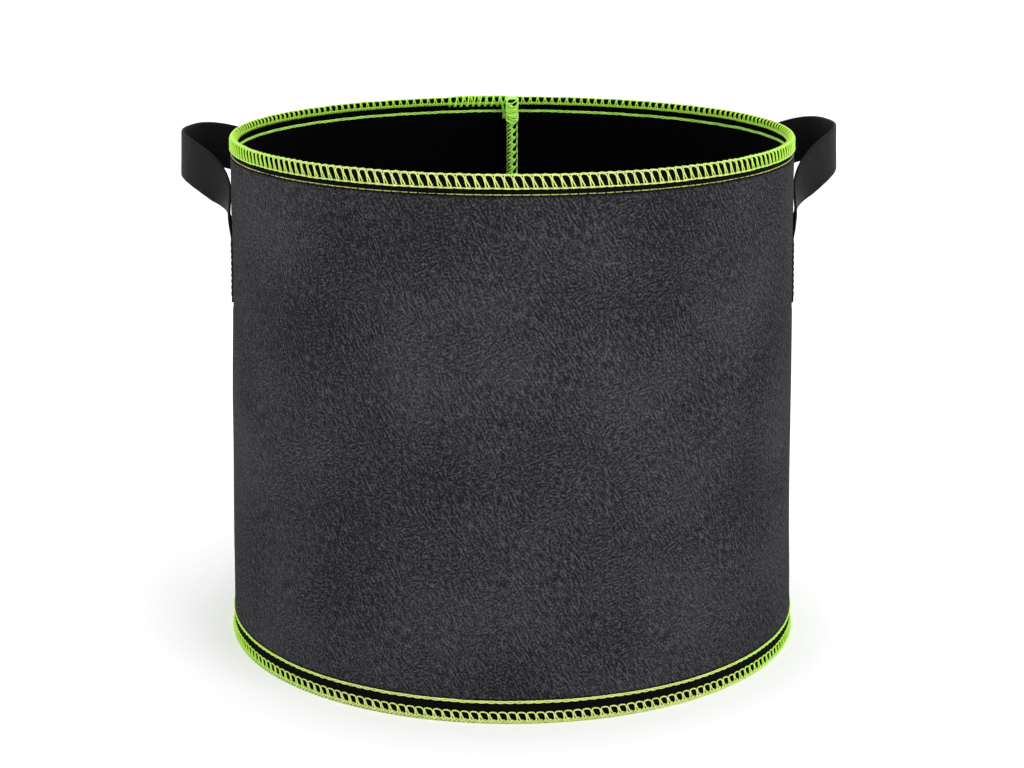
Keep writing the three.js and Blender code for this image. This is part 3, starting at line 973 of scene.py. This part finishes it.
class GROWBAG_OT_handles(bpy.types.Operator):
    """Bend the two webbing straps and sew their ends on with crossed boxes"""
    bl_idname = "growbag.handles"
    bl_label = "Handles"

    def execute(self, context):
        sizes, look = context.scene.grow_bag_sizes, context.scene.grow_bag_look
        webbing = webbing_material("woven_polypropylene_webbing", look.webbing,
                                   look.webbing_highlight)
        # Painted highlight: the black thread's crests take the webbing's highlight colour
        black = thread_material("textured_polyester_thread_black", look.black_thread,
                                look.webbing_highlight, look.black_thread)
        outside = STRAP_RADIUS + WEBBING / 2 - 0.15 - SEWN_SINK
        for side, handle in HANDLES.items():
            self.strap(side, handle, webbing)
            for leg, turn in zip(handle["legs"], (-1, 1)):
                azimuth = handle["azimuth"] + turn * degrees_along(LEG_HALF_SPACING)
                for kind, radius, out in (("needle", outside, 1), ("bobbin", INNER_RADIUS, -1)):
                    node = f"{side}_handle_{leg}_{kind}_thread"
                    bm = bmesh.new()
                    add_thread(bm, crossed_box(azimuth, radius, out), sizes.thread / MM * 0.42)
                    finish_piece(bm, node + "_sewn", [black], [node])
        return {"FINISHED"}

    def strap(self, side, handle, webbing):
        rows = 150
        frames, total = strap_frames(handle, rows)
        half = [2.5, 5, 7.5, 10, 11.5, 12.2, WEBBING_WIDTH / 2]
        across = [-x for x in reversed(half)] + [0] + half
        bm = flat_cloth(across, [total * i / rows for i in range(rows + 1)], WEBBING)
        thicken(bm, WEBBING)
        for face in bm.faces:
            face.material_index = 0
        for vert in bm.verts:
            centre, width, out = frames[round(vert.co.y / total * rows)]
            from_selvedge = max(0.0, WEBBING_WIDTH / 2 - abs(vert.co.x))
            bulge = min(1.0, 0.45 + 0.75 * math.sqrt(from_selvedge / 1.6))
            crimp = 0.05 * math.sin(vert.co.y * 2 * math.pi / 9)
            vert.co = centre + vert.co.x * width + (vert.co.z * bulge + crimp) * out
        nodes = [f"{side}_handle_loop"] + [f"{side}_handle_{leg}_tab" for leg in handle["legs"]]
        piece = finish_piece(bm, f"{side}_handle_strap", [webbing], nodes,
                             body=None)
        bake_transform(piece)


def crossed_box(azimuth, radius, out):
    """A lockstitch round a box and across it, which dips into the cloth at every stitch."""
    wide, high = WEBBING_WIDTH / 2 - 2.5, SEWN_HEIGHT / 2 - 3
    turns = ((-1, -1), (1, -1), (1, 1), (-1, 1), (-1, -1), (1, 1), (1, -1), (-1, 1))
    corners = [(x * wide, y * high) for x, y in turns]
    stitch, per_stitch = 3.4, 5
    middle = SEWN_TOP - SEWN_HEIGHT / 2
    path = []
    for (x0, y0), (x1, y1) in zip(corners, corners[1:]):
        length = math.hypot(x1 - x0, y1 - y0)
        steps = per_stitch * max(1, round(length / stitch))
        for i in range(steps):
            x, y = x0 + (x1 - x0) * i / steps, y0 + (y1 - y0) * i / steps
            rise = -0.25 + 0.5 * math.sin(math.pi * (i % per_stitch) / per_stitch) ** 0.5
            if out > 0:  # The strap is flat over its width, and the wall behind it is round
                rise += math.hypot(radius, x) - radius
            path.append(on_cylinder(radius + out * rise, azimuth + degrees_along(x), middle + y))
    return path


# Stage ------------------------------------------------------------------------------------------

STAGE_SIZE = 14
BAG_MIDDLE = Vector((0, 0, 0.14))
CAMERA_PLACE = (0, -1.154, 0.439)
CAMERA_TILT = math.radians(14.7)
SENSOR_WIDTH = 36


class GROWBAG_OT_stage(bpy.types.Operator):
    """Set up the pale floor, the soft lights and the camera"""
    bl_idname = "growbag.stage"
    bl_label = "Stage"

    def execute(self, context):
        scene, stage = context.scene, context.scene.grow_bag_stage
        bm = bmesh.new()
        bmesh.ops.create_grid(bm, x_segments=1, y_segments=1, size=STAGE_SIZE)
        mesh = bpy.data.meshes.new("floor")
        bm.to_mesh(mesh)
        bm.free()
        material, tree = new_material("matt_white_paper_backdrop")
        close_material(tree, {"Base Color": linear(stage.floor), "Roughness": 0.9,
                              "Specular IOR Level": 0.1})
        mesh.materials.append(material)
        floor = bpy.data.objects.new("floor", mesh)
        scene.collection.objects.link(floor)

        world = bpy.data.worlds.new("studio")
        world.use_nodes = True
        background = world.node_tree.nodes["Background"]
        background.inputs["Color"].default_value = linear(stage.world)
        background.inputs["Strength"].default_value = stage.world_strength
        scene.world = world
        # Softboxes: place and width in metres, and power
        lights = (
            ("key_softbox", (1.5, -1.6, 1.6), 1.6, stage.key_power),
            ("fill_softbox", (-1.9, -1.3, 1.2), 1.6, stage.fill_power),
            ("top_softbox", (0.1, 0.9, 2.4), 1.8, stage.top_power),
        )
        for name, place, size, power in lights:
            lamp = bpy.data.lights.new(name, "AREA")
            lamp.shape, lamp.size, lamp.energy = "DISK", size, power
            light = bpy.data.objects.new(name, lamp)
            light.location = place
            towards_bag = BAG_MIDDLE - light.location
            light.rotation_euler = towards_bag.to_track_quat("-Z", "Y").to_euler()
            scene.collection.objects.link(light)

        camera_data = bpy.data.cameras.new("camera")
        camera_data.sensor_width = SENSOR_WIDTH
        camera_data.lens = stage.lens
        camera = bpy.data.objects.new("camera", camera_data)
        camera.location = CAMERA_PLACE
        camera.rotation_euler = (math.pi / 2 - CAMERA_TILT, 0, 0)
        scene.collection.objects.link(camera)
        scene.camera = camera
        scene.view_settings.view_transform = "Standard"
        return {"FINISHED"}


# Panel and properties ---------------------------------------------------------------------------

class GrowBagSizes(bpy.types.PropertyGroup):
    thread: bpy.props.FloatProperty(
        name="Thread", description="Thickness of the sewing thread", default=0.00078,
        min=0.0003, max=0.002, unit="LENGTH", precision=4)
    stitches: bpy.props.IntProperty(
        name="Stitches", description="Stitches once round the rim and once round the bottom",
        default=208, min=80, max=400)


def colour_text(name, description, default):
    return bpy.props.StringProperty(name=name, description=description + ", as an sRGB hex value",
                                    default=default)


class GrowBagLook(bpy.types.PropertyGroup):
    felt_light: colour_text("Felt Crests", "Fibres that catch the light", "504E52")
    felt_dark: colour_text("Felt Hollows", "Gaps between the fibres", "1A191C")
    # Painted shade: the margin colour darkens the felt between the rows of stitches
    felt_margin_shade: colour_text("Felt Margin Shade", "Painted shade on the pressed felt between the rows of stitches", "080906")
    # Painted shade: the inner face's colours stand for the shade inside the bag
    inner_shade_crests: colour_text("Inner Crests, Painted Shade", "Fibres of the inner face, in painted shade", "030304")
    inner_shade_hollows: colour_text("Inner Hollows, Painted Shade", "Gaps between the fibres of the inner face, in painted shade", "010101")
    # Painted shade: the bottom's colours are the wall's felt, darkened for its shade
    bottom_shade_crests: colour_text("Bottom Crests, Painted Shade", "Fibres of the bottom panel, in painted shade", "1E1D20")
    bottom_shade_hollows: colour_text("Bottom Hollows, Painted Shade", "Gaps between its fibres", "0A0A0B")
    webbing: colour_text("Webbing", "Ground of the handles", "040405")
    # Painted highlight on the webbing's picks, also used on the black thread
    webbing_highlight: colour_text("Webbing Highlight", "Painted highlight where filaments catch the light", "141419")
    # Painted light: the outer seams' pale lime, palest at the front
    lit_pale_lime: colour_text("Pale Lime Thread, Painted Light", "Main colour of the outer seams, paled with painted light", "C6D05A")
    # Crests are painted highlights and hollows painted shade, here and for the inner lime below
    lit_pale_lime_highlight: colour_text("Pale Lime Painted Highlight", "Painted highlight on the outer filaments", "F4F5C4")
    lit_pale_lime_shade: colour_text("Pale Lime Painted Shade", "Painted shade where the outer thread lies deeper", "A2C440")
    unlit_side_lime: colour_text("Side Lime Thread, past the Painted Light", "The outer seams round the sides, past the painted light of the front", "A8E428")
    lime: colour_text("Lime Thread", "Main colour of the inner seams", "BEFF48")
    lime_highlight: colour_text("Lime Painted Highlight", "Painted highlight on the inner filaments", "E4FFA0")
    lime_shade: colour_text("Lime Painted Shade", "Painted shade where the inner thread lies deeper", "86E82C")
    # Painted shade on the chain stitches sunk in the felt
    sunk_lime: colour_text("Sunk Thread", "Stitches half covered by felt, darkened with painted shade", "A4AE66")
    sunk_lime_shade: colour_text("Sunk Painted Shade", "Painted shade on stitches nearly lost in the felt", "6C7444")
    black_thread: colour_text("Black Thread", "Stitches of the handles", "101013")


class GrowBagStage(bpy.types.PropertyGroup):
    floor: colour_text("Floor", "Paper the bag stands on", "FAFAFA")
    world: colour_text("Surround", "Light from all round", "FFFFFF")
    world_strength: bpy.props.FloatProperty(
        name="Surround Strength", description="Strength of the light from all round",
        default=1.2, min=0, max=5)
    key_power: bpy.props.FloatProperty(
        name="Key", description="Power of the right softbox", default=18, min=0, unit="POWER")
    fill_power: bpy.props.FloatProperty(
        name="Fill", description="Power of the left softbox", default=1, min=0, unit="POWER")
    top_power: bpy.props.FloatProperty(
        name="Top", description="Power of the softbox above", default=6, min=0, unit="POWER")
    lens: bpy.props.FloatProperty(
        name="Lens", description="Focal length", default=74.5, min=20, max=200,
        subtype="DISTANCE_CAMERA")


class GROWBAG_PT_sidebar(bpy.types.Panel):
    """Sizes, looks and stage of the grow bag, and a button for every piece"""
    bl_idname = "GROWBAG_PT_sidebar"
    bl_label = "Grow Bag"
    bl_space_type = "VIEW_3D"
    bl_region_type = "UI"
    bl_category = "Grow Bag"

    def draw(self, context):
        for group in (context.scene.grow_bag_sizes, context.scene.grow_bag_look,
                      context.scene.grow_bag_stage):
            box = self.layout.box()
            for key in group.__annotations__:
                box.prop(group, key)
        for operator in OPERATORS:
            self.layout.operator(operator.bl_idname)


OPERATORS = (
    GROWBAG_OT_side_panel,
    GROWBAG_OT_bottom_panel,
    GROWBAG_OT_rim_seam,
    GROWBAG_OT_bottom_seam,
    GROWBAG_OT_side_seam,
    GROWBAG_OT_handles,
    GROWBAG_OT_stage,
)
GROUPS = {
    "grow_bag_sizes": GrowBagSizes,
    "grow_bag_look": GrowBagLook,
    "grow_bag_stage": GrowBagStage,
}


def register():
    for cls in (*GROUPS.values(), *OPERATORS, GROWBAG_PT_sidebar):
        bpy.utils.register_class(cls)
    for key, group in GROUPS.items():
        setattr(bpy.types.Scene, key, bpy.props.PointerProperty(type=group))


def unregister():
    for key in GROUPS:
        delattr(bpy.types.Scene, key)
    for cls in reversed((*GROUPS.values(), *OPERATORS, GROWBAG_PT_sidebar)):
        bpy.utils.unregister_class(cls)


def main():
    register()
    bpy.ops.growbag.side_panel()
    bpy.ops.growbag.bottom_panel()
    bpy.ops.growbag.rim_seam()
    bpy.ops.growbag.bottom_seam()
    bpy.ops.growbag.side_seam()
    bpy.ops.growbag.handles()
    bpy.ops.growbag.stage()


if __name__ == "__main__":
    main()
